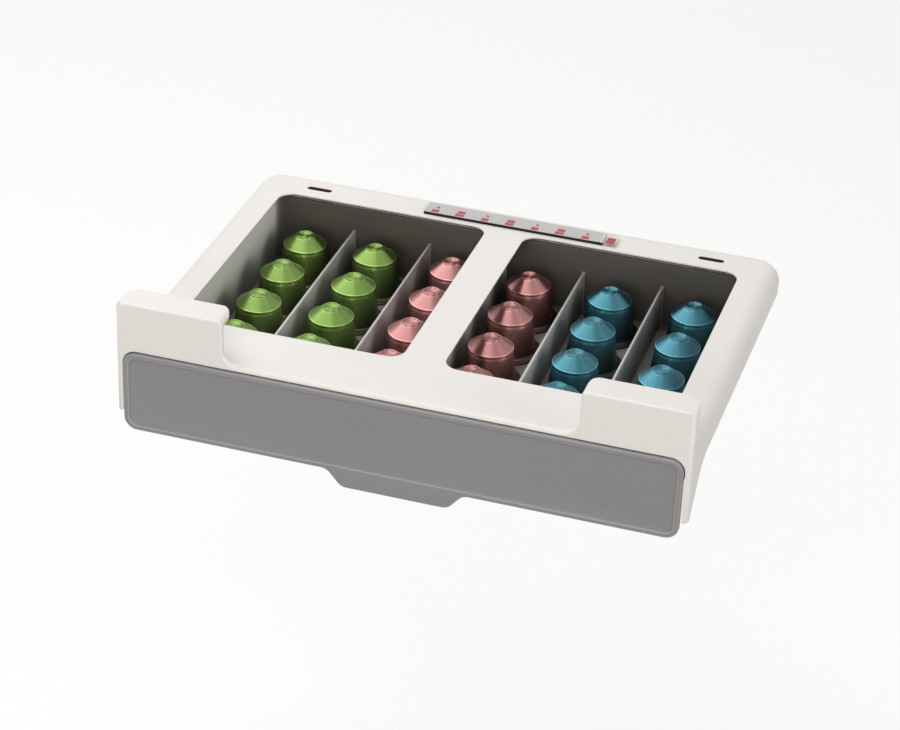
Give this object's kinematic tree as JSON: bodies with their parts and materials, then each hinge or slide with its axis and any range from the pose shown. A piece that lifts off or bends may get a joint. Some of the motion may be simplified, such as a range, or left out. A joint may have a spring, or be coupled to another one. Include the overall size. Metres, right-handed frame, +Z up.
{
  "type": "coffee capsule drawer",
  "caption": "Under-shelf storage drawer for coffee capsules: a hooked white housing with two windows and a grey tray of divided channels that slides out.",
  "frame": {"origin": "midway between the two screw slots, in the plane of the housing's flat top face", "axes": "+X to the right as seen from the front, +Y towards the back of the cupboard, +Z up to the shelf; the drawer opens towards -Y"},
  "size_m": [0.314, 0.2276, 0.0857],
  "materials": {
    "housing_white": "fine matt moulding texture",
    "rail_white": "matt moulding",
    "screw_steel": "zinc-plated steel",
    "foam_black": "black foam tape, cut edge showing",
    "liner_grey": "silicone-coated release paper, satin",
    "clear_film": "clear polyester film",
    "tray_grey": "fine matt moulding texture",
    "glide_white": "natural acetal, satin",
    "panel_grey": "fine matt moulding texture with a smoother rim",
    "divider_grey": "satin moulding",
    "capsule_green": "satin anodised green",
    "capsule_pink": "satin anodised pink",
    "capsule_blue": "satin anodised blue",
    "lid_foil": "plain foil"
  },
  "bodies": {
    "housing": {"housing_frame": "housing_white", "rail_left": "rail_white", "rail_right": "rail_white", "rail_screws_left": "screw_steel", "rail_screws_right": "screw_steel", "adhesive_foam": "foam_black", "release_liner": "liner_grey", "liner_pull_film": "clear_film"},
    "drawer": {"tray": "tray_grey", "glide_left": "glide_white", "glide_right": "glide_white", "front_panel": "panel_grey", "panel_screws": "screw_steel", "divider_1": "divider_grey", "divider_2": "divider_grey", "divider_3": "divider_grey", "divider_4": "divider_grey", "divider_5": "divider_grey", "capsules_1": "capsule_green", "capsules_2": "capsule_green", "capsules_3": "capsule_pink", "capsules_4": "capsule_pink", "capsules_5": "capsule_blue", "capsules_6": "capsule_blue", "foil_lids_1": "lid_foil", "foil_lids_2": "lid_foil", "foil_lids_3": "lid_foil", "foil_lids_4": "lid_foil", "foil_lids_5": "lid_foil", "foil_lids_6": "lid_foil"}
  },
  "joints": [
    {"name": "drawer_slide", "type": "slide", "parent": "housing", "child": "drawer", "axis": [0, -1, 0], "range_m": [0, 0.16]}
  ]
}
